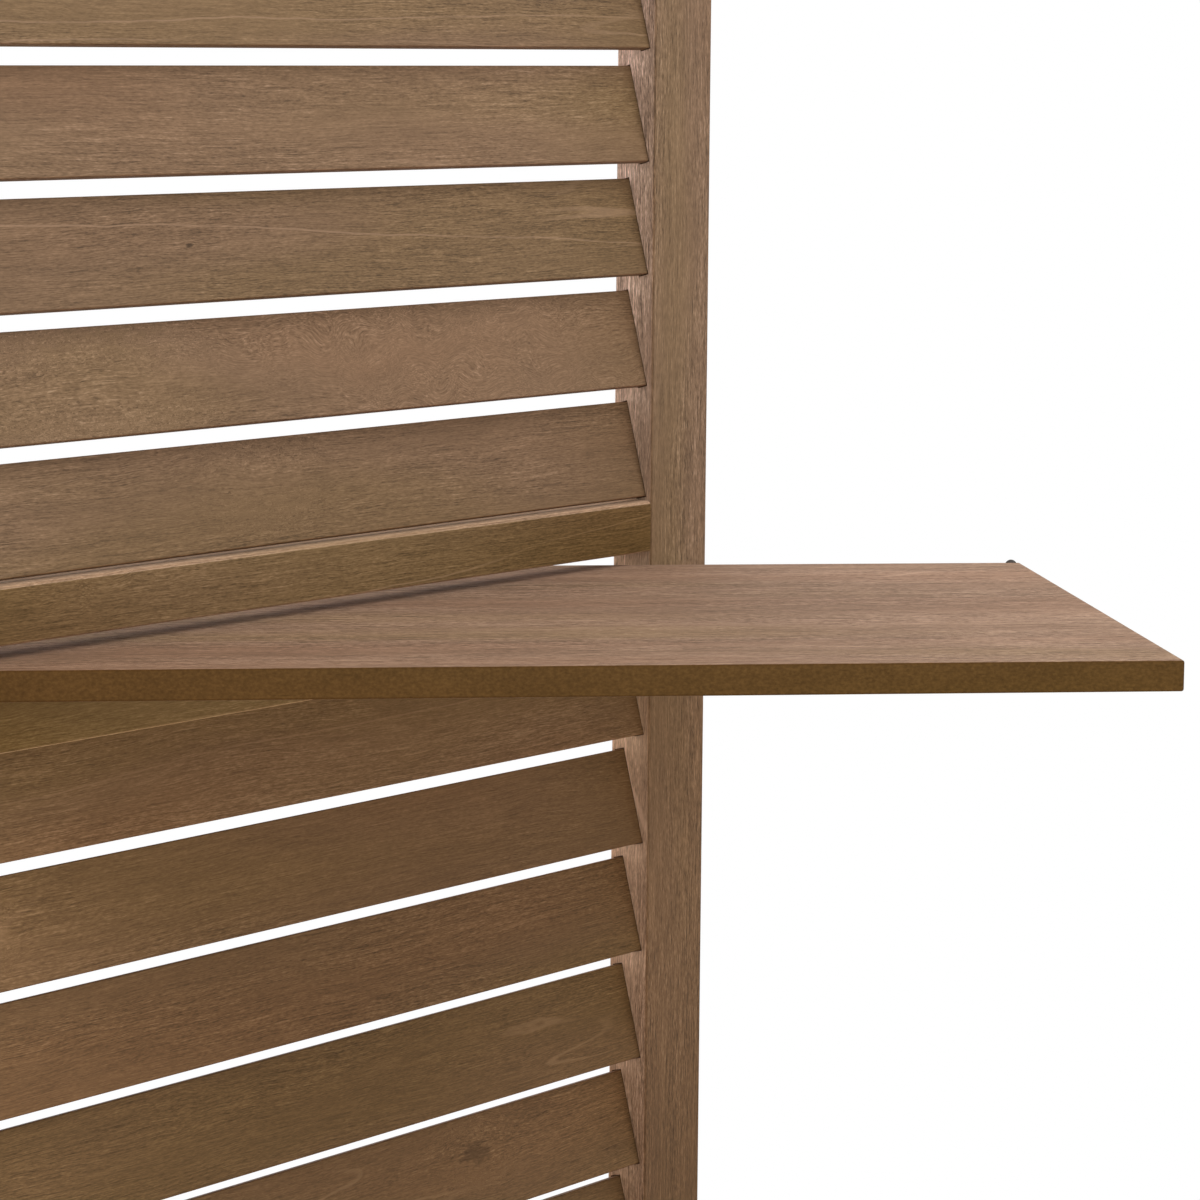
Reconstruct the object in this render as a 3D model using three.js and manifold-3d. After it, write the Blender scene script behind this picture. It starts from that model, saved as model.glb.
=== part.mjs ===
// Folding screen with shelves.
// Three louvred wooden panels stand in a zigzag, joined by butt hinges, and three long
// boards are threaded through slots in all three panels.
// Millimetres. +Z is up, +X runs along the shelves, and the front of the screen faces -Y.
// The origin lies on the floor, below the middle of the middle panel.

import * as THREE from 'three';
import { mergeVertices } from 'three/addons/utils/BufferGeometryUtils.js';
import Module from 'manifold-3d';

const wasm = await Module();
wasm.setup();

// Driving dimensions of the whole screen
const panelWidth = 446;
const panelThickness = 18;
const foldAngle = 45; // degrees between each panel and the line of the shelves
const seatGap = 0.3; // glue line or play between two pieces that touch
const cutOverrun = 2; // how far a cutter runs past the face that it opens

// Driving dimensions of the stiles and rails
const stileWidth = 34;
const footHeight = 65; // stile below the bottom rail
const bottomRailHeight = 34;
const topRailHeight = 34;
const slotRailHeight = 19;
const frameEase = 1; // small chamfer on the long edges
const tenonThickness = 8;
const tenonLength = 14;
const tenonShoulder = 3; // above and below each tenon

// Driving dimensions of the louvre slats
const slatHeight = 36; // along the slope of the slat
const slatThickness = 4;
const slatTilt = 15; // degrees from upright, top leaning back
const slatSetback = 2.8; // lower front corner behind the panel's front face
const slatSightGap = 6.5; // upright distance from one slat's top to the next one's foot
const slatTenon = 8; // length of slat held in each stile
const slatPlay = 0.5; // above and below each field of slats
const slatsPerField = [9, 8, 8, 9]; // from the floor up

// Driving dimensions of the shelves
const shelfThickness = 10;
const shelfHeadroom = 4.5; // above a board, under the rail that closes its slot
const shelfSideGap = 4.6; // along the panel, from a board's corner to the stile
const shelfOverhang = 115; // past the outer edge of the end panels
const shelfEase = 0.8;

// Driving dimensions of the hinges
const hingeInset = 190; // from the floor and from the top to the middle of a hinge
const leafHeight = 60;
const leafThickness = 1.2;
const leafMargin = 3; // wood left between a leaf and the far face of the stile
const pinRadius = 1.5;
const pinHeadRadius = 2.3;
const pinHeadHeight = 1.4;
const barrelWall = 1.2;
const axisPastEdge = 1.5; // pin centre beyond the stile's edge
const axisPastFace = 2; // pin centre beyond the stile's face
const screwHoleRadius = 1.9;
const countersinkRadius = 3.4;
const screwRowInset = 10; // from a leaf's end to its first screw
const screwStagger = 1.6;

// Facet counts
const barrelSides = 12;
const screwSides = 8;

// Sizes worked out from the driving ones
const radians = Math.PI / 180;
const fold = foldAngle * radians;
const tilt = slatTilt * radians;
const slotLength = panelWidth - 2 * stileWidth;
const slotHeight = seatGap + shelfThickness + shelfHeadroom;
const slatRise = slatHeight * Math.cos(tilt);
const slatHeel = slatThickness * Math.sin(tilt);
const slatPitch = slatRise + slatSightGap;
const shelfDepth = (slotLength - 2 * shelfSideGap) * Math.sin(fold) - panelThickness * Math.cos(fold);
const barrelBore = pinRadius + seatGap;
const barrelRadius = barrelBore + barrelWall;
const leafReach = panelThickness - leafMargin;
const leafPocket = leafThickness + seatGap;
const hingeArm = panelWidth / 2 + axisPastEdge;
const hingeOffset = panelThickness / 2 + axisPastFace;
const panelSpacing = 2 * (hingeArm * Math.cos(fold) + hingeOffset * Math.sin(fold));
const panelReach = (panelWidth / 2) * Math.cos(fold) + (panelThickness / 2) * Math.sin(fold);
const shelfLength = 2 * (panelSpacing + panelReach + shelfOverhang);

// Heights of the rails and of the first slat of each field, from the floor up.
// Each field of slats is closed by the pair of rails that makes a shelf slot, or by the top rail.
const rails = [];
const slatFeet = [];
const shelfFloors = [];
let level = footHeight;
const addRail = (name, height) => {
  rails.push({ name, height, middle: level + height / 2 });
  level += height;
};
addRail('bottom_rail', bottomRailHeight);
slatsPerField.forEach((count, field) => {
  const firstFoot = level + slatPlay + slatHeel;
  for (let i = 0; i < count; i += 1) slatFeet.push(firstFoot + i * slatPitch);
  level = firstFoot + (count - 1) * slatPitch + slatRise + slatPlay;
  if (field === slatsPerField.length - 1) return;
  addRail(`slot_${field + 1}_floor_rail`, slotRailHeight);
  shelfFloors.push(level);
  level += slotHeight;
  addRail(`slot_${field + 1}_head_rail`, slotRailHeight);
});
addRail('top_rail', topRailHeight);
const panelHeight = level;
const hingeLevels = [hingeInset, panelHeight / 2, panelHeight - hingeInset];

// Materials
const wood = (color, roughness) => new THREE.MeshStandardMaterial({ color, roughness, metalness: 0 });
const stileWood = wood('#8a6a55', 0.55);
const slatWood = wood('#86664f', 0.6);
const railWood = wood('#7a5c42', 0.6);
const shelfWood = wood('#a58470', 0.5);
const hingeBrass = new THREE.MeshStandardMaterial({ color: '#8f7a4a', roughness: 0.4, metalness: 1 });

// A closed geometry as a solid that can be joined and cut
function toSolid(geometry) {
  const bare = geometry.index ? geometry.toNonIndexed() : geometry.clone();
  bare.deleteAttribute('normal');
  bare.deleteAttribute('uv');
  const merged = mergeVertices(bare);
  return new wasm.Manifold(new wasm.Mesh({
    numProp: 3,
    vertProperties: new Float32Array(merged.attributes.position.array),
    triVerts: new Uint32Array(merged.index.array),
  }));
}

// A solid as a geometry to show
function toGeometry(solid) {
  const mesh = solid.getMesh();
  const geometry = new THREE.BufferGeometry();
  geometry.setAttribute('position', new THREE.BufferAttribute(new Float32Array(mesh.vertProperties), 3));
  geometry.setIndex(new THREE.BufferAttribute(new Uint32Array(mesh.triVerts), 1));
  const faceted = geometry.toNonIndexed();
  faceted.computeVertexNormals();
  return faceted;
}

function block(sizeX, sizeY, sizeZ, x, y, z) {
  return toSolid(new THREE.BoxGeometry(sizeX, sizeY, sizeZ).translate(x, y, z));
}

// A round bar along Z, centred on its own middle
function roundBar(radius, height, sides, z) {
  return toSolid(new THREE.CylinderGeometry(radius, radius, height, sides).rotateX(Math.PI / 2).translate(0, 0, z));
}

// A rectangle with its four corners cut off at 45 degrees
function easedRectangle(width, height, ease) {
  const x = width / 2;
  const y = height / 2;
  const outline = new THREE.Shape();
  outline.moveTo(-x + ease, -y);
  outline.lineTo(x - ease, -y);
  outline.lineTo(x, -y + ease);
  outline.lineTo(x, y - ease);
  outline.lineTo(x - ease, y);
  outline.lineTo(-x + ease, y);
  outline.lineTo(-x, y - ease);
  outline.lineTo(-x, -y + ease);
  outline.closePath();
  return outline;
}

// A bar along X, centred, with eased long edges
function barAlongX(length, depth, height, ease) {
  const geometry = new THREE.ExtrudeGeometry(easedRectangle(depth, height, ease), {
    depth: length,
    bevelEnabled: false,
  });
  return geometry.translate(0, 0, -length / 2).rotateY(Math.PI / 2).rotateX(Math.PI / 2);
}

// Rails, with a stub tenon at each end
function railGeometry(height) {
  const bar = toSolid(barAlongX(slotLength - 2 * seatGap, panelThickness, height, frameEase));
  const tongueLength = slotLength + 2 * tenonLength;
  const tongue = block(tongueLength, tenonThickness, height - 2 * tenonShoulder, 0, 0, 0);
  return toGeometry(bar.add(tongue));
}

// Stiles. A stile's own origin is on the floor, at the middle of its width and thickness.
// Inward is +1 when the slats are on its +X side, and -1 when they are on its -X side.
function stileBlank(inward, hingeFace) {
  const upright = new THREE.ExtrudeGeometry(easedRectangle(stileWidth, panelThickness, frameEase), {
    depth: panelHeight,
    bevelEnabled: false,
  });
  let stile = toSolid(upright);
  const mortiseDepth = tenonLength + seatGap;
  for (const rail of rails) {
    const mortise = block(
      mortiseDepth + cutOverrun,
      tenonThickness + 2 * seatGap,
      rail.height - 2 * tenonShoulder + 2 * seatGap,
      inward * (stileWidth / 2 - (mortiseDepth - cutOverrun) / 2),
      0,
      rail.middle,
    );
    stile = stile.subtract(mortise);
  }
  if (hingeFace === 0) return stile;
  for (const height of hingeLevels) {
    const pocketLength = leafReach + seatGap + cutOverrun;
    const pocket = block(
      leafPocket + cutOverrun,
      pocketLength,
      leafHeight + 2 * seatGap,
      -inward * (stileWidth / 2 - (leafPocket - cutOverrun) / 2),
      hingeFace * (panelThickness / 2 + cutOverrun - pocketLength / 2),
      height,
    );
    stile = stile.subtract(pocket);
  }
  return stile;
}

// The slat's section in the plane across the panel, grown by a clearance for its mortise.
// Shape x is the panel's depth, from front to back, and shape y is up.
function slatSection(clearance) {
  const along = new THREE.Vector2(Math.sin(tilt), Math.cos(tilt));
  const across = new THREE.Vector2(Math.cos(tilt), -Math.sin(tilt));
  const foot = new THREE.Vector2(slatSetback - panelThickness / 2, 0);
  const corner = (up, back) => foot.clone().addScaledVector(along, up).addScaledVector(across, back);
  return new THREE.Shape([
    corner(-clearance, -clearance),
    corner(-clearance, slatThickness + clearance),
    corner(slatHeight + clearance, slatThickness + clearance),
    corner(slatHeight + clearance, -clearance),
  ]);
}

// A bar of the slat's section from one x to another, with its lower front corner at a height
function slatBar(fromX, toX, height, clearance) {
  const geometry = new THREE.ExtrudeGeometry(slatSection(clearance), {
    depth: toX - fromX,
    bevelEnabled: false,
  });
  return toSolid(geometry.rotateX(Math.PI / 2).rotateZ(Math.PI / 2).translate(fromX, 0, height));
}

// The stile that the slats are glued into, in one piece with them
function louvredStile(hingeFace) {
  let stile = stileBlank(1, hingeFace);
  const root = stileWidth / 2 - slatTenon;
  const tip = stileWidth / 2 + slotLength + slatTenon;
  for (const foot of slatFeet) stile = stile.add(slatBar(root, tip, foot, 0));
  return toGeometry(stile);
}

// The stile opposite, with a slanted mortise for each slat
function mortisedStile(hingeFace) {
  let stile = stileBlank(-1, hingeFace);
  const floor = -stileWidth / 2 + slatTenon + seatGap;
  const mouth = -stileWidth / 2 - cutOverrun;
  for (const foot of slatFeet) stile = stile.subtract(slatBar(mouth, floor, foot, seatGap));
  return toGeometry(stile);
}

// Hinges. A leaf's own origin is on the pin's axis, at half its height.
// End is the X side of the panel that the leaf is on, and face is the Y side of the fold.
const knuckleHeight = leafHeight / 3;

function leafGeometry(end, face, outerKnuckles) {
  const plateDepth = axisPastFace + leafReach;
  const plateX = -end * (axisPastEdge + leafThickness / 2);
  let leaf = block(leafThickness, plateDepth, leafHeight, plateX, -face * plateDepth / 2, 0);
  const offsets = [-knuckleHeight, 0, knuckleHeight];
  const isOwn = (offset) => (offset === 0) !== outerKnuckles;
  for (const offset of offsets.filter((z) => !isOwn(z))) {
    const clearance = roundBar(barrelRadius + seatGap, knuckleHeight + seatGap, barrelSides, offset);
    leaf = leaf.subtract(clearance);
  }
  for (const offset of offsets.filter(isOwn)) {
    leaf = leaf.add(roundBar(barrelRadius, knuckleHeight - seatGap, barrelSides, offset));
  }
  leaf = leaf.subtract(roundBar(barrelBore, leafHeight + cutOverrun, barrelSides, 0));
  const slope = (countersinkRadius - screwHoleRadius) / leafThickness;
  const flare = slope * cutOverrun;
  const screwMiddle = axisPastFace + panelThickness / 2;
  const rowStep = leafHeight / 2 - screwRowInset;
  for (const row of [-1, 0, 1]) {
    const sink = new THREE.CylinderGeometry(
      countersinkRadius + flare,
      Math.max(screwHoleRadius - flare, screwHoleRadius / 2),
      leafThickness + 2 * cutOverrun,
      screwSides,
    );
    sink.rotateZ(-end * Math.PI / 2);
    const sideStep = row === 0 ? screwStagger : -screwStagger;
    sink.translate(plateX, -face * (screwMiddle + sideStep), row * rowStep);
    leaf = leaf.subtract(toSolid(sink));
  }
  return toGeometry(leaf);
}

// The pin with a low round head at each end
function pinGeometry() {
  const half = leafHeight / 2 + seatGap;
  const outline = [
    new THREE.Vector2(0, -half - pinHeadHeight),
    new THREE.Vector2(pinHeadRadius * Math.SQRT1_2, -half - pinHeadHeight),
    new THREE.Vector2(pinHeadRadius, -half - pinHeadHeight / 2),
    new THREE.Vector2(pinHeadRadius, -half),
    new THREE.Vector2(pinRadius, -half),
    new THREE.Vector2(pinRadius, half),
    new THREE.Vector2(pinHeadRadius, half),
    new THREE.Vector2(pinHeadRadius, half + pinHeadHeight / 2),
    new THREE.Vector2(pinHeadRadius * Math.SQRT1_2, half + pinHeadHeight),
    new THREE.Vector2(0, half + pinHeadHeight),
  ];
  return new THREE.LatheGeometry(outline, barrelSides).rotateX(Math.PI / 2);
}

function piece(name, geometry, material, x, y, z) {
  const mesh = new THREE.Mesh(geometry, material);
  mesh.name = name;
  mesh.position.set(x, y, z);
  return mesh;
}

// One panel in its own frame: X along its width, the front face towards -Y.
// A hinge face is +1 at the back, -1 at the front and 0 for a stile without hinges.
function makePanel(name, leftHingeFace, rightHingeFace) {
  const panel = new THREE.Group();
  const stileX = (panelWidth - stileWidth) / 2;
  panel.add(piece(`${name}_louvred_stile`, louvredStile(leftHingeFace), stileWood, -stileX, 0, 0));
  panel.add(piece(`${name}_mortised_stile`, mortisedStile(rightHingeFace), stileWood, stileX, 0, 0));
  for (const rail of rails) {
    panel.add(piece(`${name}_${rail.name}`, railGeometry(rail.height), railWood, 0, 0, rail.middle));
  }
  return panel;
}

// The leaves on one edge of a panel, in the panel's frame
function addLeaves(panel, hinge, leafName, end, face, outerKnuckles) {
  ['low', 'middle', 'high'].forEach((place, i) => {
    const leaf = piece(
      `${hinge}_${place}_${leafName}`,
      leafGeometry(end, face, outerKnuckles),
      hingeBrass,
      end * hingeArm,
      face * hingeOffset,
      hingeLevels[i],
    );
    panel.add(leaf);
    if (!outerKnuckles) return;
    const pin = piece(`${hinge}_${place}_pin`, pinGeometry(), hingeBrass, 0, 0, 0);
    pin.position.copy(leaf.position);
    panel.add(pin);
  });
}

const screen = new THREE.Group();

// The middle panel runs from the back left to the front right
const middlePanel = makePanel('middle_panel', -1, 1);
addLeaves(middlePanel, 'right_hinge', 'inner_leaf', 1, 1, true);
addLeaves(middlePanel, 'left_hinge', 'inner_leaf', -1, -1, true);
middlePanel.rotation.z = -fold;
screen.add(middlePanel);

// The two outer panels run the other way
const rightPanel = makePanel('right_panel', 1, 0);
addLeaves(rightPanel, 'right_hinge', 'outer_leaf', -1, 1, false);
rightPanel.rotation.z = fold;
rightPanel.position.x = panelSpacing;
screen.add(rightPanel);

const leftPanel = makePanel('left_panel', 0, -1);
addLeaves(leftPanel, 'left_hinge', 'outer_leaf', 1, -1, false);
leftPanel.rotation.z = fold;
leftPanel.position.x = -panelSpacing;
screen.add(leftPanel);

// The boards lie on the floor rails of their slots
['lower_shelf', 'middle_shelf', 'upper_shelf'].forEach((name, i) => {
  const board = barAlongX(shelfLength, shelfDepth, shelfThickness, shelfEase);
  const height = shelfFloors[i] + seatGap + shelfThickness / 2;
  screen.add(piece(name, board, shelfWood, 0, 0, height));
});

export default screen;
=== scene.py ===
import math
import random

import bmesh
import bpy
from mathutils import Matrix, Vector


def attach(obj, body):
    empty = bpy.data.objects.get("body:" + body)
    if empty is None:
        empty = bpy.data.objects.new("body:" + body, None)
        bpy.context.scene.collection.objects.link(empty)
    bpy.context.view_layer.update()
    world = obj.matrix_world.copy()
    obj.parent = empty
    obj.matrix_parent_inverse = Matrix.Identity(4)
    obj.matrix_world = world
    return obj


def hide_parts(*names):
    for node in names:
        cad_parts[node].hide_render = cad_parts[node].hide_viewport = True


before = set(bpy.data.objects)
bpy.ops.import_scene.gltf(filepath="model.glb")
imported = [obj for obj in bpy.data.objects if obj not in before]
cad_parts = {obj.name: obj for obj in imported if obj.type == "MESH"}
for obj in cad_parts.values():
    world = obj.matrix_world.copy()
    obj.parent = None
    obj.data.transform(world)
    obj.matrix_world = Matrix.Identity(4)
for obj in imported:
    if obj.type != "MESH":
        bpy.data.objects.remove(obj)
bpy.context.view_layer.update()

# Sizes of the screen in metres, as in the CAD source
MM = 0.001
PANEL_WIDTH = 446 * MM
PANEL_DEPTH = 18 * MM
FOLD = math.radians(45)
GAP = 0.3 * MM
STILE_WIDTH = 34 * MM
FOOT = 65 * MM
END_RAIL = 34 * MM
SLOT_RAIL = 19 * MM
TENON_THICK = 8 * MM
TENON_LONG = 14 * MM
TENON_SHOULDER = 3 * MM
SLAT_HIGH = 36 * MM
SLAT_THICK = 4 * MM
SLAT_TILT = math.radians(15)
SLAT_SETBACK = 2.8 * MM
SLAT_SIGHT = 6.5 * MM
SLAT_TENON = 8 * MM
SLAT_PLAY = 0.5 * MM
SLATS = [9, 8, 8, 9]
BOARD_THICK = 10 * MM
HEADROOM = 4.5 * MM
SIDE_GAP = 4.6 * MM
OVERHANG = 115 * MM
HINGE_INSET = 190 * MM
LEAF_HIGH = 60 * MM
LEAF_THICK = 1.2 * MM
LEAF_MARGIN = 3 * MM
PAST_EDGE = 1.5 * MM
PAST_FACE = 2 * MM
SCREW_INSET = 10 * MM
SCREW_STAGGER = 1.6 * MM

SLOT_LONG = PANEL_WIDTH - 2 * STILE_WIDTH
SLOT_HIGH = GAP + BOARD_THICK + HEADROOM
RISE = SLAT_HIGH * math.cos(SLAT_TILT)
HEEL = SLAT_THICK * math.sin(SLAT_TILT)
PITCH = RISE + SLAT_SIGHT
BOARD_DEEP = (SLOT_LONG - 2 * SIDE_GAP) * math.sin(FOLD) - PANEL_DEPTH * math.cos(FOLD)
HINGE_ARM = PANEL_WIDTH / 2 + PAST_EDGE
HINGE_OFFSET = PANEL_DEPTH / 2 + PAST_FACE
SPACING = 2 * (HINGE_ARM * math.cos(FOLD) + HINGE_OFFSET * math.sin(FOLD))
REACH = PANEL_WIDTH / 2 * math.cos(FOLD) + PANEL_DEPTH / 2 * math.sin(FOLD)
BOARD_LONG = 2 * (SPACING + REACH + OVERHANG)

RAILS = []
FEET = []
BOARD_FLOORS = []
level = FOOT


def add_rail(name, high):
    global level
    RAILS.append((name, high, level + high / 2))
    level += high


add_rail("bottom_rail", END_RAIL)
for field, count in enumerate(SLATS):
    first = level + SLAT_PLAY + HEEL
    FEET += [first + i * PITCH for i in range(count)]
    level = first + (count - 1) * PITCH + RISE + SLAT_PLAY
    if field < len(SLATS) - 1:
        add_rail(f"slot_{field + 1}_floor_rail", SLOT_RAIL)
        BOARD_FLOORS.append(level)
        level += SLOT_HIGH
        add_rail(f"slot_{field + 1}_head_rail", SLOT_RAIL)
add_rail("top_rail", END_RAIL)
PANEL_HIGH = level
HINGE_LEVELS = {"low": HINGE_INSET, "middle": PANEL_HIGH / 2, "high": PANEL_HIGH - HINGE_INSET}

PANELS = {
    "left_panel": Matrix.Translation((-SPACING, 0, 0)) @ Matrix.Rotation(FOLD, 4, "Z"),
    "middle_panel": Matrix.Rotation(-FOLD, 4, "Z"),
    "right_panel": Matrix.Translation((SPACING, 0, 0)) @ Matrix.Rotation(FOLD, 4, "Z"),
}


# Node graphs

HALF = (0.5, 0.5, 0.5)


class Graph:
    """Short ways to add nodes to a material's tree."""

    def __init__(self, tree):
        self.tree = tree
        tree.nodes.clear()

    def node(self, kind, **values):
        made = self.tree.nodes.new(kind)
        for key, value in values.items():
            setattr(made, key, value)
        return made

    def put(self, socket, value):
        if isinstance(value, bpy.types.NodeSocket):
            self.tree.links.new(value, socket)
        else:
            socket.default_value = value

    def attribute(self, name, output="Fac"):
        return self.node("ShaderNodeAttribute", attribute_name=name).outputs[output]

    def math(self, operation, a, b=0.0, clamp=False):
        made = self.node("ShaderNodeMath", operation=operation, use_clamp=clamp)
        self.put(made.inputs[0], a)
        self.put(made.inputs[1], b)
        return made.outputs[0]

    def plus(self, a, b):
        return self.math("ADD", a, b)

    def minus(self, a, b):
        return self.math("SUBTRACT", a, b)

    def times(self, a, b):
        return self.math("MULTIPLY", a, b)

    def vector(self, operation, a, b):
        made = self.node("ShaderNodeVectorMath", operation=operation)
        self.put(made.inputs[0], a)
        self.put(made.inputs[1], b)
        return made.outputs[0]

    def scaled(self, a, factors):
        return self.vector("MULTIPLY", a, factors)

    def grown(self, a, amount):
        """A vector times one number."""
        made = self.node("ShaderNodeVectorMath", operation="SCALE")
        self.put(made.inputs[0], a)
        self.put(made.inputs["Scale"], amount)
        return made.outputs[0]

    def length(self, a):
        made = self.node("ShaderNodeVectorMath", operation="LENGTH")
        self.put(made.inputs[0], a)
        return made.outputs["Value"]

    def noise(self, at, detail=2.0, rough=0.5, colour=False):
        made = self.node("ShaderNodeTexNoise", noise_dimensions="3D")
        self.put(made.inputs["Vector"], at)
        made.inputs["Scale"].default_value = 1.0
        made.inputs["Detail"].default_value = detail
        made.inputs["Roughness"].default_value = rough
        return made.outputs["Color" if colour else "Fac"]

    def wander(self, at, factors, detail, rough):
        """Noise about zero, in three directions."""
        noise = self.noise(self.scaled(at, factors), detail, rough, colour=True)
        return self.vector("SUBTRACT", noise, HALF)

    def parts(self, vector):
        made = self.node("ShaderNodeSeparateXYZ")
        self.put(made.inputs[0], vector)
        return tuple(made.outputs)

    def ramp(self, value, stops):
        made = self.node("ShaderNodeValToRGB")
        elements = made.color_ramp.elements
        while len(elements) < len(stops):
            elements.new(0.5)
        for element, (place, colour) in zip(elements, stops):
            element.position = place
            element.color = (*colour, 1)
        self.put(made.inputs[0], value)
        return made.outputs["Color"]

    def step(self, value, low, high, to_low=0.0, to_high=1.0):
        made = self.node("ShaderNodeMapRange", interpolation_type="SMOOTHSTEP")
        self.put(made.inputs["Value"], value)
        made.inputs["From Min"].default_value = low
        made.inputs["From Max"].default_value = high
        made.inputs["To Min"].default_value = to_low
        made.inputs["To Max"].default_value = to_high
        return made.outputs["Result"]

    def mix(self, share, a, b, blend="MIX"):
        made = self.node("ShaderNodeMix", data_type="RGBA", blend_type=blend)
        self.put(made.inputs[0], share)
        for socket, value in ((made.inputs[6], a), (made.inputs[7], b)):
            self.put(socket, value if isinstance(value, bpy.types.NodeSocket) else (*value, 1))
        return made.outputs[2]

    def surface(self, colour, rough, height, strength, distance, **plain):
        """Ends a material's tree with a bumped surface. Plain values go to the sockets they name."""
        bump = self.node("ShaderNodeBump")
        bump.inputs["Strength"].default_value = strength
        bump.inputs["Distance"].default_value = distance
        self.put(bump.inputs["Height"], height)
        shader = self.node("ShaderNodeBsdfPrincipled")
        self.put(shader.inputs["Base Color"], colour)
        self.put(shader.inputs["Roughness"], rough)
        self.put(shader.inputs["Normal"], bump.outputs[0])
        for socket, value in plain.items():
            shader.inputs[socket].default_value = value
        out = self.node("ShaderNodeOutputMaterial")
        self.put(out.inputs[0], shader.outputs[0])


def new_material(name):
    material = bpy.data.materials.new(name)
    material.use_nodes = True
    return material, Graph(material.node_tree)


# Heights in metres between which the top's own colour gives way to the middle painted shade, and the height
# below which that starts to give way to the deeper low one. This painted shade stands in for the upper
# board's shadow.
PAINTED_SHADE_FADE = (1.3, 1.19)
DEEPER_SHADE_TOP = 1.17

# What the stain in an eased edge multiplies the colour by
EDGE_STAIN = (0.88, 0.8184, 0.7568)


def wood(name, base, side_tint, contrast=1.0, figure=1.0, shine=0.12, matte=0.0, end_grain=False,
         middle=(0.93, 0.85, 0.68), low=(0.83, 0.76, 0.6), deepest_shade_level=1.04, ends=None):
    """A brown stained hardwood, whose patterns follow the attributes that dress() stores.
    Side tint multiplies the colour where the side attribute is 1, and middle and low do so further down
    the screen as painted shade below the upper board. Ends are the distances from the middle of a piece
    between which it takes on a tint, and that tint, a painted shade or light toward the ends."""
    material, g = new_material(name)
    place = g.attribute("grain", "Vector")
    edge = g.attribute("edge")
    side = g.attribute("side")
    mark = g.attribute("mark", "Vector")
    ring = g.attribute("ring")
    lightness, hue, curl = g.parts(g.attribute("tone", "Vector"))
    _, mark_across, mark_size = g.parts(mark)

    # The grain wanders gently, and more so in a few patches of figure. Each noise is scaled by its cells to
    # the metre along, across and into the grain.
    slow = g.wander(place, (4.5, 20, 20), 2, 0.5)
    quick = g.wander(place, (38, 75, 75), 2, 0.6)
    patches = g.step(g.noise(g.scaled(place, (7, 18, 18)), 1, 0.5), 0.52, 0.74)
    patches = g.times(patches, g.times(curl, figure))
    bend = g.vector("ADD", g.scaled(slow, (0, 0.012, 0.012)), g.scaled(quick, (0, 0.0016, 0.0016)))
    along = g.vector("ADD", place, bend)
    curled = g.wander(place, (42, 40, 40), 1, 0.5)
    along = g.vector("ADD", along, g.grown(g.scaled(curled, (0, 0.022, 0.022)), patches))

    # The grain parts around a knot or swirl
    wobble = g.minus(g.noise(g.scaled(place, (160, 330, 330)), 3, 0.6), 0.5)
    away = g.plus(g.length(g.scaled(mark, (1, 1, 0))), g.times(wobble, 1.7))
    size = g.math("ABSOLUTE", mark_size)
    near = g.times(g.step(away, 2.5, 0.3), g.math("GREATER_THAN", size, 0.0))
    push = g.times(g.times(mark_across, near), size)
    along = g.vector("ADD", along, g.grown((0, -0.6, -0.6), push))
    rings = g.math("SINE", g.plus(g.times(away, 9.0), g.times(wobble, 3.0)))
    rings = g.times(rings, near)
    dark = g.math("GREATER_THAN", mark_size, 0.0)
    core = g.times(g.step(away, 0.85, 0.3), dark)
    core = g.times(core, g.step(mark_size, 0.003, 0.0015, 0.42, 0.85))
    pale = g.times(near, g.math("LESS_THAN", mark_size, 0.0))

    # Fine fibres and long threads, wider streaks and bands, and slow changes of tone
    fibre = g.noise(g.scaled(along, (400, 2700, 2700)), 2, 0.65)
    thread = g.noise(g.scaled(along, (42, 2700, 2700)), 2, 0.65)
    streak = g.noise(g.scaled(along, (45, 950, 950)), 3, 0.6)
    band = g.noise(g.scaled(along, (4.0, 130, 130)), 3, 0.55)
    zone = g.noise(g.scaled(along, (2.6, 16, 16)), 2, 0.5)
    cloud = g.noise(g.scaled(place, (26, 60, 60)), 3, 0.6)
    crisp = g.step(g.noise(g.scaled(along, (7, 42, 42)), 1, 0.5), 0.36, 0.62, 0.75, 1.3)

    def swing(value, amount):
        return g.times(g.minus(value, 0.5), amount * contrast)

    value = g.plus(swing(fibre, 1.05), g.plus(swing(thread, 1.1), swing(streak, 0.45)))
    value = g.times(value, crisp)
    for pattern, amount in ((band, 0.26), (zone, 0.24), (cloud, 0.14)):
        value = g.plus(value, swing(pattern, amount))
    if end_grain:
        speckle = g.noise(g.scaled(place, (800, 1100, 1100)), 2, 0.6)
        speckled = g.node("ShaderNodeMix", data_type="FLOAT")
        g.put(speckled.inputs[0], side)
        g.put(speckled.inputs[2], value)
        g.put(speckled.inputs[3], g.plus(swing(speckle, 0.5), swing(cloud, 0.2)))
        value = speckled.outputs[0]
    for pattern, amount in ((patches, 0.05), (rings, 0.045), (pale, 0.07), (lightness, 0.1)):
        value = g.plus(value, g.times(pattern, amount))

    # A growth ring that runs out along the piece, pale, with darker wood above it
    ring = g.plus(ring, g.times(g.parts(slow)[1], 0.012))
    ring = g.plus(ring, g.times(g.parts(quick)[1], 0.0018))
    above = g.times(g.step(ring, -0.0002, 0.0002), g.step(ring, 0.022, 0.001))
    value = g.minus(value, g.times(above, 0.035))
    ring = g.step(g.math("ABSOLUTE", ring), 0.00042, 0.0001)
    value = g.plus(value, 0.5)

    def shade(factor, shift=(0, 0, 0)):
        return tuple(max(0.0, c * factor + s) for c, s in zip(base, shift))

    colour = g.ramp(value, [
        (0.0, shade(0.42)),
        (0.3, shade(0.78)),
        (0.5, shade(1.0)),
        (0.72, shade(1.26, (0.004, 0.006, 0.006))),
        (1.0, shade(1.7, (0.02, 0.03, 0.035))),
    ])

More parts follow.
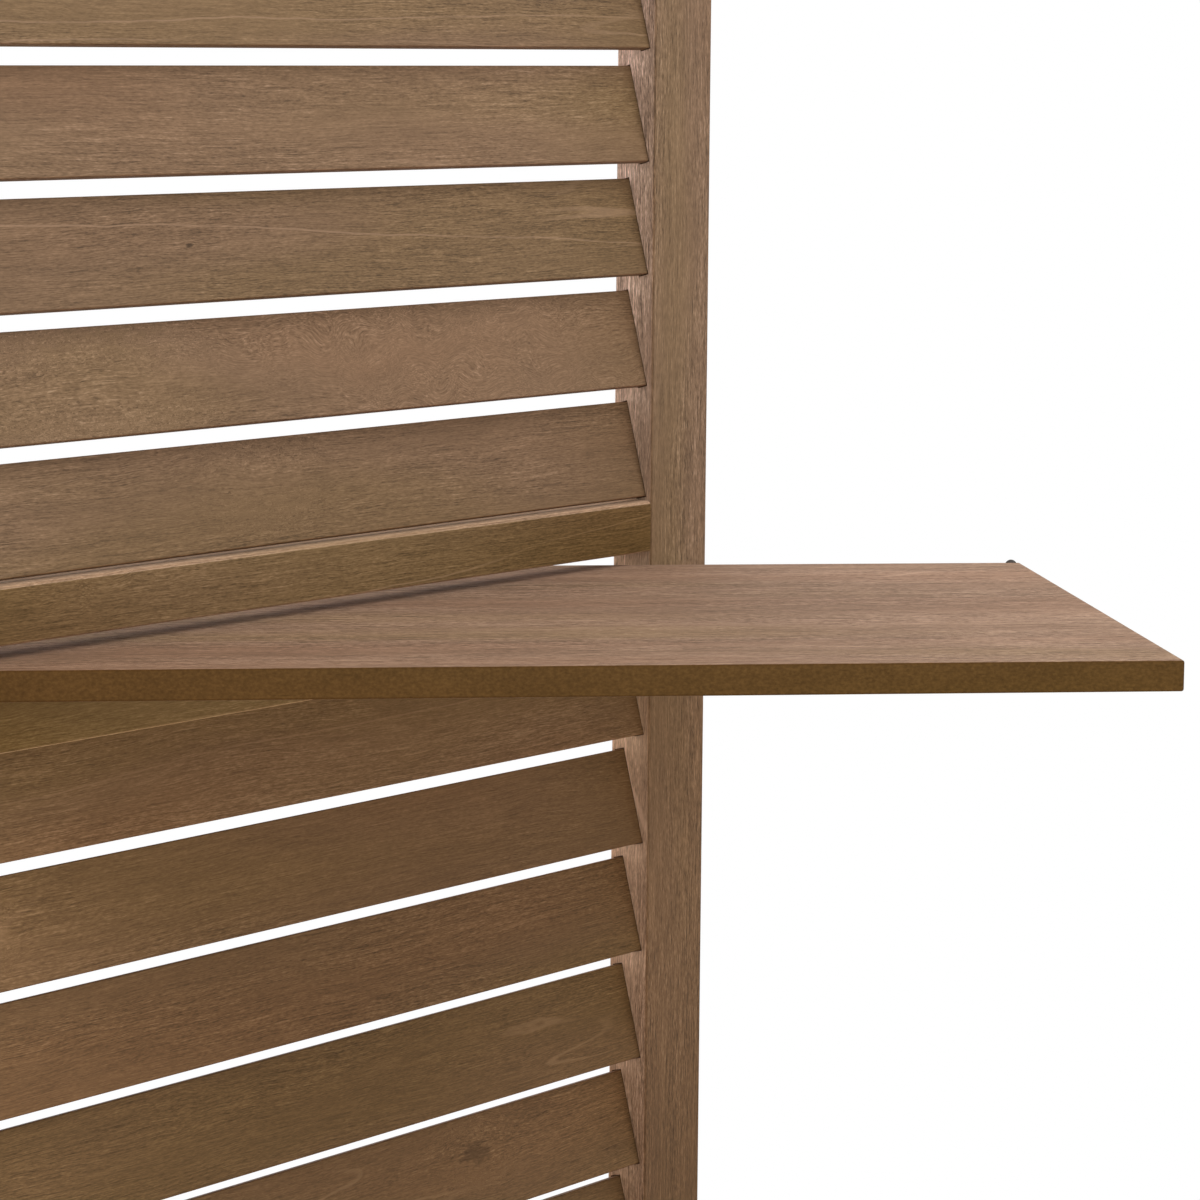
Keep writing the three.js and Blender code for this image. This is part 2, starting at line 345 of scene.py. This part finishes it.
    # Reddish and olive zones
    drift = g.noise(g.scaled(along, (3.4, 22, 22)), 1, 0.5)
    drift = g.plus(drift, g.times(hue, 0.06))
    colour = g.mix(g.step(drift, 0.48, 0.72), colour, (1.03, 0.985, 0.97), "MULTIPLY")
    colour = g.mix(g.step(drift, 0.52, 0.28), colour, (0.96, 0.98, 0.88), "MULTIPLY")

    # Open pores, short and dark, and a few long pale lines
    pore = g.noise(g.scaled(along, (150, 2900, 2900)), 1, 0.5)
    sparse = g.noise(g.scaled(along, (11, 160, 160)), 2, 0.5)
    pores = g.times(g.step(pore, 0.63, 0.74), g.step(sparse, 0.44, 0.62))
    colour = g.mix(g.times(pores, 0.4), colour, shade(0.45))
    contour = g.math("ABSOLUTE", g.minus(g.noise(g.scaled(along, (2.1, 34, 34)), 1, 0.5), 0.5))
    rare = g.step(g.noise(g.scaled(place, (6, 15, 15)), 1, 0.5), 0.52, 0.66)
    rare = g.math("MAXIMUM", rare, g.times(patches, 0.8))
    line = g.times(g.step(contour, 0.0052, 0.0012), rare)
    line = g.math("MAXIMUM", line, g.times(ring, g.step(cloud, 0.25, 0.55, 0.35, 1.0)))
    colour = g.mix(g.times(line, 0.5), colour, shade(1.6, (0.03, 0.03, 0.03)))
    colour = g.mix(core, colour, shade(0.24))

    # Painted shade: below the upper board the colour is darkened, more so further down, standing in for the
    # board's shadow
    height = g.parts(g.node("ShaderNodeTexCoord").outputs["Object"])[2]
    lower = g.mix(g.step(height, DEEPER_SHADE_TOP, deepest_shade_level), middle, low)
    colour = g.mix(g.step(height, *PAINTED_SHADE_FADE), colour, lower, "MULTIPLY")

    # Painted shade or light toward the ends of a piece: darker where slats and rails meet the stiles, paler
    # and bluer, a painted sheen, toward a board's ends
    if ends:
        start, full, tint = ends
        from_middle = g.math("ABSOLUTE", g.attribute("along"))
        wide_faces = g.minus(1.0, side)
        share = g.times(g.step(from_middle, start, full), wide_faces)
        colour = g.mix(share, colour, tint, "MULTIPLY")

    # Faces cut across or beside the wide ones take the stain in their own way; on stiles and rails the tint
    # is also painted light, paler on rail tops and on the stile's inner face
    colour = g.mix(side, colour, side_tint, "MULTIPLY")

    # Eased edges hold more stain
    stained = g.times(edge, g.step(cloud, 0.3, 0.62, 0.55, 1.0))
    colour = g.mix(stained, colour, EDGE_STAIN, "MULTIPLY")

    # Fibres and pores can be felt
    relief = g.times(g.plus(thread, streak), 0.4)
    relief = g.plus(g.times(fibre, 0.3), relief)
    relief = g.minus(relief, g.times(pores, 0.5))
    rough = g.plus(g.times(streak, 0.16), g.times(pores, 0.14))
    rough = g.plus(rough, g.times(band, 0.1))
    rough = g.plus(rough, 0.52 + matte)
    g.surface(colour, rough, relief, 0.45, 0.22 * MM, **{"Specular IOR Level": shine})
    return material


def brass(name, base, dull, rough_low, rough_high):
    """Plated metal with a fine brushed grain along Z, dull patches and small dark spots."""
    material, g = new_material(name)
    place = g.node("ShaderNodeTexCoord").outputs["Object"]
    brushed = g.noise(g.scaled(place, (5200, 5200, 160)), 2, 0.6)
    patina = g.noise(g.scaled(place, (190, 190, 120)), 4, 0.65)
    spots = g.step(g.noise(g.scaled(place, (1100, 1100, 1100)), 2, 0.6), 0.62, 0.72)
    colour = g.mix(g.step(patina, 0.38, 0.66), base, dull)
    colour = g.mix(g.times(spots, 0.45), colour, tuple(c * 0.4 for c in dull))
    rough = g.plus(g.times(patina, rough_high - rough_low), rough_low)
    rough = g.plus(rough, g.times(g.minus(brushed, 0.5), 0.12))
    relief = g.minus(brushed, g.times(spots, 0.6))
    g.surface(colour, rough, relief, 0.25, 0.04 * MM, Metallic=1.0)
    return material


# The ends' tints are painted: shade where slats and rails meet the stiles, light and sheen toward a board's
# ends
SLAT_WOOD = wood("slat_wood", (0.207, 0.125, 0.071), (0.97, 0.9, 0.88),
                 ends=(0.12, 0.187, (0.87, 0.86, 0.8)))
# The stile's middle and low tints paint a deeper shade toward its foot
STILE_WOOD = wood("stile_wood", (0.212, 0.129, 0.077), (3.6, 4.1, 5.4), figure=0.3, contrast=1.4,
                  middle=(0.99, 0.92, 0.78), low=(0.64, 0.56, 0.44), deepest_shade_level=1.0)
# The rail's side tint paints its tops paler, partly thin stain and partly painted light from above
RAIL_WOOD = wood("rail_wood", (0.216, 0.136, 0.071), (2.1, 2.2, 2.8), contrast=0.85, shine=0.04, matte=0.15,
                 ends=(0.03, 0.187, (0.72, 0.66, 0.52)))
BOARD_WOOD = wood("board_wood", (0.283, 0.176, 0.115), (0.366, 0.312, 0.155), figure=0.4, contrast=1.75,
                  shine=0.05, matte=0.15, end_grain=True, ends=(0.14, 0.56, (1.22, 1.28, 1.4)))
STUD_STEEL = brass("stud_steel", (0.17, 0.16, 0.155), (0.1, 0.095, 0.09), 0.4, 0.6)
HINGE_BRASS = brass("hinge_brass", (0.62, 0.47, 0.24), (0.36, 0.26, 0.13), 0.28, 0.5)
PIN_STEEL = brass("pin_steel", (0.56, 0.44, 0.25), (0.36, 0.28, 0.16), 0.22, 0.42)
SCREW_BRASS = brass("screw_brass", (0.66, 0.52, 0.28), (0.4, 0.3, 0.15), 0.25, 0.42)


# Meshes

def round_edges(bm, edges, radius, segments, **more):
    """Rounds the edges given, with more settings for the bevel as they are needed."""
    bmesh.ops.bevel(bm, geom=edges, offset=radius, offset_type="OFFSET", segments=segments,
                    profile=0.5, affect="EDGES", **more)


def rounded_block(x, y, z, ease):
    """A block about the origin with every edge rounded."""
    bm = bmesh.new()
    bmesh.ops.create_cube(bm, size=1.0, matrix=Matrix.Diagonal((x, y, z, 1)))
    round_edges(bm, bm.edges[:], ease, 3, clamp_overlap=True)
    return bm


def lathe(outline, axis, steps):
    """A closed round shape, from points in millimetres in the XY plane turned about an axis."""
    bm = bmesh.new()
    profile = [bm.verts.new((x * MM, y * MM, 0)) for x, y in outline]
    edges = [bm.edges.new(pair) for pair in zip(profile, profile[1:])]
    bmesh.ops.spin(bm, geom=profile + edges, cent=(0, 0, 0), axis=axis, angle=2 * math.pi,
                   steps=steps, use_merge=True)
    bmesh.ops.remove_doubles(bm, verts=bm.verts[:], dist=1e-7)
    bmesh.ops.recalc_face_normals(bm, faces=bm.faces[:])
    return bm


def to_mesh(bm, name):
    mesh = bpy.data.meshes.new(name)
    bm.normal_update()
    bm.to_mesh(mesh)
    bm.free()
    return mesh


def add_block(bm, x, y, z, matrix):
    bmesh.ops.create_cube(bm, size=1.0, matrix=matrix @ Matrix.Diagonal((x, y, z, 1)))


def new_object(name, data):
    ob = bpy.data.objects.new(name, data)
    bpy.context.scene.collection.objects.link(ob)
    return ob


def applied(mesh, kind, **settings):
    """The mesh after a modifier."""
    ob = new_object("scratch", mesh)
    made = ob.modifiers.new(kind, kind)
    for key, value in settings.items():
        setattr(made, key, value)
    result = bpy.data.meshes.new_from_object(ob.evaluated_get(bpy.context.evaluated_depsgraph_get()))
    bpy.data.objects.remove(ob)
    return result


def cut(mesh, *cutters):
    """The mesh less each cutter."""
    for cutter in cutters:
        other = new_object("cutter", cutter)
        mesh = applied(mesh, "BOOLEAN", operation="DIFFERENCE", solver="EXACT", object=other)
        bpy.data.objects.remove(other)
    return mesh


def smooth(mesh):
    """Smooth shading whose flat faces stay flat."""
    mesh.polygons.foreach_set("use_smooth", [True] * len(mesh.polygons))
    mesh.set_sharp_from_angle(angle=math.radians(40))
    return applied(mesh, "WEIGHTED_NORMAL", keep_sharp=True, weight=80)


chance = random.Random(20611)

# The place about a mark or ring of a piece that has none
FAR_AWAY = 9.0


def dress(mesh, half, ease, axes, side_share, lightness=0.0, hue=0.0, curl=1.0, mark=None, ring=None):
    """Stores the place along the grain, the piece's own tone, and where its edges are eased.
    Axes are the local axes along, across and into the grain. Side share takes a face's normal and a place.
    A mark is its place along and across the grain and its size, less than zero for a pale swirl.
    A ring is how far across it stands at the middle of the piece, and its slope."""
    offset = [chance.uniform(-40, 40) for _ in range(3)]
    flip = chance.choice((-1, 1))
    places, tones, edges, marks, rings, alongs = [], [], [], [], [], []
    tiny = 1e-5
    for vertex in mesh.vertices:
        co = vertex.co
        along, across, inward = (co[axis] for axis in axes)
        places += [flip * along + offset[0], across + offset[1], inward + offset[2]]
        tones += [lightness, hue, curl]
        rounded = sum(half[i] - ease + tiny < abs(co[i]) < half[i] - tiny for i in range(3))
        edges.append(1.0 if rounded >= 2 else 0.0)
        if mark:
            marks += [(along - mark[0]) / abs(2 * mark[2]), (across - mark[1]) / abs(mark[2]), mark[2]]
        else:
            marks += [FAR_AWAY, FAR_AWAY, 0.0]
        rings.append(across - ring[0] - ring[1] * along if ring else FAR_AWAY)
        alongs.append(along)
    for word, kind, field, values in (
        ("grain", "FLOAT_VECTOR", "vector", places),
        ("tone", "FLOAT_VECTOR", "vector", tones),
        ("mark", "FLOAT_VECTOR", "vector", marks),
        ("edge", "FLOAT", "value", edges),
        ("ring", "FLOAT", "value", rings),
        ("along", "FLOAT", "value", alongs),
    ):
        mesh.attributes.new(word, kind, "POINT").data.foreach_set(field, values)
    sides = []
    for face in mesh.polygons:
        sides += [side_share(face.normal, mesh.vertices[v].co) for v in face.vertices]
    mesh.attributes.new("side", "FLOAT", "CORNER").data.foreach_set("value", sides)


def add_piece(name, mesh, matrix, material, body, replaces):
    mesh.name = name
    mesh.transform(matrix)
    mesh.materials.clear()
    mesh.materials.append(material)
    ob = new_object(name, mesh)
    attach(ob, body)
    if replaces:
        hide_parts(replaces)


# Slats, rounded along every edge and tenoned into both stiles

SLAT_LONG = SLOT_LONG + 2 * SLAT_TENON
SLAT_EASE = 0.5 * MM

# Knots, swirls and one small crack, by piece, in millimetres
MARKS = {
    "right_panel_slat_28": (-46.7, 0.7, 1.2),
    "right_panel_slat_27": (-88, -2, -13),
    "right_panel_slat_26": (-12, 4, -8),
    "right_panel_slat_24": (-150, 0, -6),
    "right_panel_slat_21": (100, 4, 6),
}

# Growth rings that show as a long pale line, by piece: millimetres across at the middle, and slope
RINGS = {
    "right_panel_slat_28": (2.7, -0.056),
    "right_panel_slat_30": (-9.0, 0.018),
    "right_panel_slat_20": (-4.0, 0.05),
}

# How curled the figure is, by piece
CURL = {
    "right_panel_slat_29": 0.0,
    "right_panel_slat_28": 0.0,
    "right_panel_slat_27": 0.9,
    "right_panel_slat_26": 0.2,
    "right_panel_slat_25": 0.0,
}

# The lightness of the slats and rails beside the upper board at the right, as the photograph shows them
# Under the board the floor rail and the nearest slats are lightened, the nearest most: painted light
# against the board's shadow
LIGHTNESS = {
    "right_panel_slat_30": 0.1,
    "right_panel_slat_29": 0.3,
    "right_panel_slat_28": -0.7,
    "right_panel_slat_27": -0.15,
    "right_panel_slat_26": -0.5,
    "right_panel_slat_25": 1.3,
    "right_panel_slat_24": 0.5,
    "right_panel_slat_23": 0.0,
    "right_panel_slat_22": -0.2,
    "right_panel_slat_21": -0.3,
    "right_panel_slot_3_floor_rail": 1.7,
    "right_panel_slot_3_head_rail": -0.5,
}


def chosen_tone(name, spread, hues):
    """How light and how red or olive a piece is."""
    light, hue = chance.uniform(-spread, spread), chance.uniform(*hues)
    return LIGHTNESS.get(name, light), hue


def chosen_mark(name):
    """The mark named for a slat, or for a few others one of their own."""
    kind, place, across = chance.random(), chance.uniform(-170, 170), chance.uniform(-12, 12)
    size = chance.uniform(1.4, 3.6) if kind < 0.07 else -chance.uniform(7, 12)
    mark = MARKS.get(name, (place, across, size) if kind < 0.2 else None)
    return mark and tuple(value * MM for value in mark)


def chosen_ring(name):
    """The growth ring named for a slat, or for a few others one of their own."""
    shown, across, slope = chance.random() < 0.14, chance.uniform(-9, 9), chance.uniform(-0.05, 0.05)
    ring = RINGS.get(name, (across, slope) if shown else None)
    return ring and (ring[0] * MM, ring[1])


slat_shape = smooth(to_mesh(rounded_block(SLAT_LONG, SLAT_THICK, SLAT_HIGH, SLAT_EASE), "slat"))
tilted = Matrix.Rotation(-SLAT_TILT, 4, "X")


def slat_centre(foot):
    """The middle of the slat whose lower front corner is at this height."""
    out = Vector((0, SLAT_SETBACK - PANEL_DEPTH / 2, foot))
    up = Vector((0, math.sin(SLAT_TILT), math.cos(SLAT_TILT)))
    back = Vector((0, math.cos(SLAT_TILT), -math.sin(SLAT_TILT)))
    return out + up * SLAT_HIGH / 2 + back * SLAT_THICK / 2


# Stiles, with a slanted mortise for each slat, a square one for each rail and pockets for the leaves

STILE_EASE = 1.0 * MM


def stile_shape(inward, hinge_face):
    """A stile about its own middle. Inward is the side of the slats, and hinge face that of the fold."""
    stile = to_mesh(rounded_block(STILE_WIDTH, PANEL_DEPTH, PANEL_HIGH, STILE_EASE), "stile")
    middle = Vector((0, 0, -PANEL_HIGH / 2))
    over = 2 * MM
    slanted = bmesh.new()
    deep = SLAT_TENON + GAP + over
    x = inward * (STILE_WIDTH / 2 + over - deep / 2)
    for foot in FEET:
        at = Matrix.Translation(slat_centre(foot) + middle + Vector((x, 0, 0))) @ tilted
        add_block(slanted, deep, SLAT_THICK + 2 * GAP, SLAT_HIGH + 2 * GAP, at)
    square = bmesh.new()
    deep = TENON_LONG + GAP + over
    x = inward * (STILE_WIDTH / 2 + over - deep / 2)
    for _, high, at_z in RAILS:
        at = Matrix.Translation(middle + Vector((x, 0, at_z)))
        add_block(square, deep, TENON_THICK + 2 * GAP, high - 2 * TENON_SHOULDER + 2 * GAP, at)
    if hinge_face:
        deep = LEAF_THICK + GAP + over
        long = PANEL_DEPTH - LEAF_MARGIN + GAP + over
        x = -inward * (STILE_WIDTH / 2 + over - deep / 2)
        y = hinge_face * (PANEL_DEPTH / 2 + over - long / 2)
        for at_z in HINGE_LEVELS.values():
            at = Matrix.Translation(middle + Vector((x, y, at_z)))
            add_block(square, deep, long, LEAF_HIGH + 2 * GAP, at)
    chips = bmesh.new()
    surface = Vector((inward * STILE_WIDTH / 2, 0, 0))
    for foot in FEET:
        add_chips(chips, inward, Matrix.Translation(slat_centre(foot) + middle + surface) @ tilted)
    cutters = to_mesh(slanted, "mortises"), to_mesh(square, "mortises"), to_mesh(chips, "chips")
    return smooth(cut(stile, *cutters))


def add_chip(bm, corners, matrix):
    """A small wedge with three corners on the wood's face and its point in the wood."""
    made = [bm.verts.new(matrix @ Vector(corner)) for corner in corners]
    for i, j, k in ((0, 1, 2), (0, 3, 1), (1, 3, 2), (2, 3, 0)):
        bm.faces.new((made[i], made[j], made[k]))


def add_chips(bm, inward, matrix):
    """Torn fibres along the front edge of a mortise and a larger one at its lower corner."""
    face = -SLAT_THICK / 2 - GAP
    low = -SLAT_HIGH / 2 - GAP
    out = inward * 0.25 * MM
    inside = face + 0.25 * MM
    count = 9
    step = (SLAT_HIGH - 3 * MM) / count
    for i in range(count):
        z = low + 2.6 * MM + (i + chance.uniform(0, 0.3)) * step
        long, wide, deep = (chance.uniform(*span) * MM for span in ((1.2, 3.4), (0.5, 1.5), (0.6, 1.4)))
        wide *= 1 + 0.15 * i
        if chance.random() < 0.7:
            tip = z + long * chance.uniform(0.3, 0.7)
            corners = [(out, inside, z), (out, inside, z + long), (out, face - wide, tip)]
            add_chip(bm, corners + [(-inward * deep, inside, tip)], matrix)
    wide, high = chance.uniform(1.1, 2.2) * MM, chance.uniform(1.2, 2.4) * MM
    corners = [
        (out, inside + 0.8 * MM, low + 0.2 * MM),
        (out, inside, low + 2.2 * MM),
        (out, face - wide, low - high * 0.4),
        (-inward * 1.3 * MM, inside, low + 0.6 * MM),
    ]
    add_chip(bm, corners, matrix)


# Rails, with a stub tenon at each end

RAIL_EASE = 0.8 * MM
RAIL_TOP_EASE = 1.9 * MM


def rail_shape(high):
    bm = bmesh.new()
    bmesh.ops.create_cube(bm, size=1.0, matrix=Matrix.Diagonal((SLOT_LONG - 2 * GAP, PANEL_DEPTH, high, 1)))
    long_edges = [e for e in bm.edges if abs(e.verts[0].co.x - e.verts[1].co.x) > high]
    top = [e for e in long_edges if e.verts[0].co.z > 0]
    rest = [e for e in long_edges if e not in top]
    round_edges(bm, top, RAIL_TOP_EASE, 4)
    round_edges(bm, [e for e in rest if e.is_valid], RAIL_EASE, 3)
    stub = TENON_LONG + GAP
    for side in (-1, 1):
        at = Matrix.Translation((side * (SLOT_LONG / 2 - GAP + stub / 2), 0, 0))
        add_block(bm, stub, TENON_THICK, high - 2 * TENON_SHOULDER, at)
    return smooth(to_mesh(bm, "rail"))


def on_top(normal, place):
    """The top and bottom faces of slats and rails, fading in over their rounded edges."""
    return min(max((abs(normal.z) - 0.2) / 0.4, 0.0), 1.0)


def on_edge(normal, place):
    """The edges and ends of a board."""
    return 1.0 if abs(normal.z) < 0.8 else 0.0


def toward_slats(inward):
    """Paler toward the back of the face that holds the slats: partly thin stain, partly painted light where
    light comes through the gaps.
    """
    def share(normal, place):
        return 0.68 + 0.32 * place.y / (PANEL_DEPTH / 2) if normal.x * inward > 0.8 else 0.0
    return share


def build_panel(panel, left_face, right_face):
    place = PANELS[panel]
    side = (PANEL_WIDTH - STILE_WIDTH) / 2
    for end, face, node in ((-1, left_face, "louvred_stile"), (1, right_face, "mortised_stile")):
        mesh = stile_shape(-end, face)
        half = (STILE_WIDTH / 2, PANEL_DEPTH / 2, PANEL_HIGH / 2)
        tone = chance.uniform(-0.4, 0.4), chance.uniform(-1, 1)
        dress(mesh, half, STILE_EASE, (2, 0, 1), toward_slats(-end), *tone, curl=0.3)
        at = place @ Matrix.Translation((end * side, 0, PANEL_HIGH / 2))
        word = "left" if end < 0 else "right"
        add_piece(f"{panel}_{word}_stile", mesh, at, STILE_WOOD, panel, f"{panel}_{node}")
    for i, foot in enumerate(FEET):
        mesh = slat_shape.copy()
        half = (SLAT_LONG / 2, SLAT_THICK / 2, SLAT_HIGH / 2)
        name = f"{panel}_slat_{i + 1:02d}"
        curl = CURL.get(name, chance.choice((0, 0, 0.3, 0.6)))
        tone = chosen_tone(name, 0.9, (-1, 1))
        dress(mesh, half, SLAT_EASE, (0, 2, 1), on_top, *tone, curl, chosen_mark(name), chosen_ring(name))
        at = place @ Matrix.Translation(slat_centre(foot)) @ tilted
        add_piece(name, mesh, at, SLAT_WOOD, panel, f"{panel}_louvred_stile")
    for name, high, at_z in RAILS:
        mesh = rail_shape(high)
        half = ((SLOT_LONG - 2 * GAP) / 2, PANEL_DEPTH / 2, high / 2)
        tone = chosen_tone(f"{panel}_{name}", 0.6, (-1.5, 0.8))
        dress(mesh, half, RAIL_EASE, (0, 2, 1), on_top, *tone, curl=0.6)
        at = place @ Matrix.Translation((0, 0, at_z))
        add_piece(f"{panel}_{name}_dressed", mesh, at, RAIL_WOOD, panel, f"{panel}_{name}")


build_panel("left_panel", 0, -1)
build_panel("middle_panel", -1, 1)
build_panel("right_panel", 1, 0)


# Shelf boards

SHELVES = dict(zip(("lower_shelf", "middle_shelf", "upper_shelf"), BOARD_FLOORS))
BOARD_EASE = 0.8 * MM
for name, floor in SHELVES.items():
    mesh = smooth(to_mesh(rounded_block(BOARD_LONG, BOARD_DEEP, BOARD_THICK, BOARD_EASE), name))
    half = (BOARD_LONG / 2, BOARD_DEEP / 2, BOARD_THICK / 2)
    dress(mesh, half, BOARD_EASE, (0, 1, 2), on_edge, chance.uniform(-0.3, 0.3), 0.4, 0.5)
    at = Matrix.Translation((0, 0, floor + GAP + BOARD_THICK / 2))
    add_piece(f"{name}_board", mesh, at, BOARD_WOOD, name, name)


# A small dark stud at the back corner of each end of a board

STUD_FROM_END = 3.4 * MM
STUD_FROM_TOP = 1.2 * MM
STUD_RIM = 0.25 * MM

# Radius, and distance out of the board
STUD_OUTLINE = [(0, 1.3), (0.8, 1.22), (1.5, 0.96), (2.05, 0.5), (2.3, 0), (2.3, -0.25),
                (1.0, -0.25), (1.0, -5), (0, -5.6)]


def add_copy(bm, mesh, matrix):
    one = mesh.copy()
    one.transform(matrix)
    bm.from_mesh(one)
    bpy.data.meshes.remove(one)


stud = smooth(to_mesh(lathe(STUD_OUTLINE, (0, 1, 0), 24), "stud"))
for name, floor in SHELVES.items():
    bm = bmesh.new()
    for end in (-1, 1):
        x = end * (BOARD_LONG / 2 - STUD_FROM_END)
        z = floor + GAP + BOARD_THICK - STUD_FROM_TOP
        add_copy(bm, stud, Matrix.Translation((x, BOARD_DEEP / 2 + STUD_RIM, z)))
    mesh = to_mesh(bm, "studs")
    add_piece(f"{name}_studs", mesh, Matrix.Identity(4), STUD_STEEL, name, None)


# Hinges. The leaves and pins are the CAD nodes, and the screws are added in their countersinks.

for node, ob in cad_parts.items():
    if "_hinge_" in node:
        for hinge_slot in ob.material_slots:
            hinge_slot.material = PIN_STEEL if node.endswith("_pin") else HINGE_BRASS


# Distance along the screw, out of the leaf, and radius
SCREW_OUTLINE = [(0, 0), (0, 2.75), (-0.12, 2.95), (-0.25, 2.95), (-1.35, 1.7), (-1.8, 1.55),
                 (-8, 1.45), (-10.5, 0.5), (-11, 0)]
SCREW_SUNK = 0.08 * MM


def screw_shape():
    """A countersunk screw along +X with a cross recess, its flat head at the origin."""
    recesses = []
    for turn in (0, math.pi / 2):
        recess = bmesh.new()
        add_block(recess, 1.6 * MM, 0.62 * MM, 3.1 * MM, Matrix.Rotation(turn, 4, "X"))
        recesses.append(to_mesh(recess, "recess"))
    shape = cut(to_mesh(lathe(SCREW_OUTLINE, (1, 0, 0), 20), "screw"), *recesses)
    shape.polygons.foreach_set("use_smooth", [True] * len(shape.polygons))
    shape.set_sharp_from_angle(angle=math.radians(28))
    return shape


screw = screw_shape()


def add_screws(leaf, panel, end, face, at_z):
    bm = bmesh.new()
    for row in (-1, 0, 1):
        side_step = SCREW_STAGGER if row == 0 else -SCREW_STAGGER
        y = -face * (PAST_FACE + PANEL_DEPTH / 2 + side_step)
        z = row * (LEAF_HIGH / 2 - SCREW_INSET)
        turn = Matrix.Rotation(chance.uniform(0, math.pi), 4, "X")
        facing = Matrix.Identity(4) if end > 0 else Matrix.Rotation(math.pi, 4, "Z")
        add_copy(bm, screw, Matrix.Translation((-end * (PAST_EDGE + SCREW_SUNK), y, z)) @ facing @ turn)
    mesh = bpy.data.meshes.new("screws")
    bm.to_mesh(mesh)
    bm.free()
    at = PANELS[panel] @ Matrix.Translation((end * HINGE_ARM, face * HINGE_OFFSET, at_z))
    add_piece(f"{leaf}_screws", mesh, at, SCREW_BRASS, panel, None)


for high, at_z in HINGE_LEVELS.items():
    add_screws(f"right_hinge_{high}_inner", "middle_panel", 1, 1, at_z)
    add_screws(f"right_hinge_{high}_outer", "right_panel", -1, 1, at_z)
    add_screws(f"left_hinge_{high}_inner", "middle_panel", -1, -1, at_z)
    add_screws(f"left_hinge_{high}_outer", "left_panel", 1, -1, at_z)


# Floor, world, lamp and camera

FLOOR_RADIUS = 3.6


def white_rays(g):
    """1 where the background itself is seen, directly, in a gloss or through glass."""
    path = g.node("ShaderNodeLightPath")
    seen = g.plus(path.outputs["Is Camera Ray"], path.outputs["Is Glossy Ray"])
    return g.math("ADD", seen, path.outputs["Is Transmission Ray"], clamp=True)


def make_floor():
    bm = bmesh.new()
    bmesh.ops.create_circle(bm, cap_ends=True, segments=96, radius=FLOOR_RADIUS)
    ob = new_object("floor", to_mesh(bm, "floor"))
    material, g = new_material("floor")
    far = g.length(g.node("ShaderNodeTexCoord").outputs["Object"])
    fade = g.times(g.step(far, 0.75, 2.0), white_rays(g))
    pale = g.node("ShaderNodeBsdfDiffuse")
    seen = g.node("ShaderNodeLightPath").outputs["Is Camera Ray"]
    g.put(pale.inputs["Color"], g.mix(seen, (0.75, 0.74, 0.72), (0.86, 0.86, 0.86)))
    white = g.node("ShaderNodeEmission")
    both = g.node("ShaderNodeMixShader")
    g.put(both.inputs[0], fade)
    g.put(both.inputs[1], pale.outputs[0])
    g.put(both.inputs[2], white.outputs[0])
    out = g.node("ShaderNodeOutputMaterial")
    g.put(out.inputs[0], both.outputs[0])
    ob.data.materials.append(material)


make_floor()

world = bpy.data.worlds.new("studio")
bpy.context.scene.world = world
world.use_nodes = True
g = Graph(world.node_tree)
ambient = g.node("ShaderNodeBackground")
ambient.inputs["Color"].default_value = (1, 1, 1, 1)
toward = g.node("ShaderNodeTexCoord").outputs["Generated"]


def glow(direction, start, full, strength):
    """Light that grows toward one side of the room."""
    made = g.node("ShaderNodeVectorMath", operation="DOT_PRODUCT")
    g.put(made.inputs[0], toward)
    made.inputs[1].default_value = direction
    return g.step(made.outputs["Value"], start, full, 0, strength)


beside = glow((-0.76, 0.65, 0), -0.1, 0.85, 1.8)
ahead = glow((0, -0.88, -0.47), -0.2, 0.95, 1.1)
g.put(ambient.inputs["Strength"], g.plus(g.plus(beside, ahead), 0.3))
backdrop = g.node("ShaderNodeBackground")
backdrop.inputs["Color"].default_value = (1, 1, 1, 1)
backdrop.inputs["Strength"].default_value = 1.0
both = g.node("ShaderNodeMixShader")
g.put(both.inputs[0], white_rays(g))
g.put(both.inputs[1], ambient.outputs[0])
g.put(both.inputs[2], backdrop.outputs[0])
out = g.node("ShaderNodeOutputWorld")
g.put(out.inputs[0], both.outputs[0])


def aim(ob, place, target):
    ob.location = place
    ob.rotation_euler = (Vector(target) - Vector(place)).to_track_quat("-Z", "Y").to_euler()


def add_lamp(name, place, target, size, power):
    lamp = bpy.data.lights.new(name, "AREA")
    lamp.shape = "DISK"
    lamp.size = size
    lamp.energy = power
    aim(new_object(name, lamp), place, target)


add_lamp("key", (2.3, -0.85, 3.4), (0.35, 0, 1.25), 2.1, 45.5)

# The camera stands at the photograph's viewing angle, close to the right-hand panel. Its focal length is
# in pixels of a picture of this width, and its height is above the top of the upper board.
PICTURE_WIDTH = 1200
FOCAL = 4149.0
SENSOR = 36
CAMERA_X, CAMERA_Y, CAMERA_ABOVE = 0.283, -1.3919, 0.1926
YAW, PITCH_DOWN, ROLL = math.radians(6.43), math.radians(7.68), math.radians(0.47)
shelf_top = SHELVES["upper_shelf"] + GAP + BOARD_THICK
level_part = math.cos(PITCH_DOWN)
forward = Vector((math.sin(YAW) * level_part, math.cos(YAW) * level_part, -math.sin(PITCH_DOWN)))
right = Vector((math.cos(YAW), -math.sin(YAW), 0))
up = right.cross(forward)
right, up = right * math.cos(ROLL) + up * math.sin(ROLL), up * math.cos(ROLL) - right * math.sin(ROLL)
lens = bpy.data.cameras.new("camera")
lens.sensor_fit = "HORIZONTAL"
lens.sensor_width = SENSOR
lens.lens = SENSOR * FOCAL / PICTURE_WIDTH
lens.clip_start = 0.05
lens.clip_end = 60
camera = new_object("camera", lens)
matrix = Matrix((right, up, -forward)).transposed().to_4x4()
matrix.translation = (CAMERA_X, CAMERA_Y, shelf_top + CAMERA_ABOVE)
camera.matrix_world = matrix
bpy.context.scene.camera = camera

bpy.context.scene.view_settings.view_transform = "Standard"

bpy.context.view_layer.update()
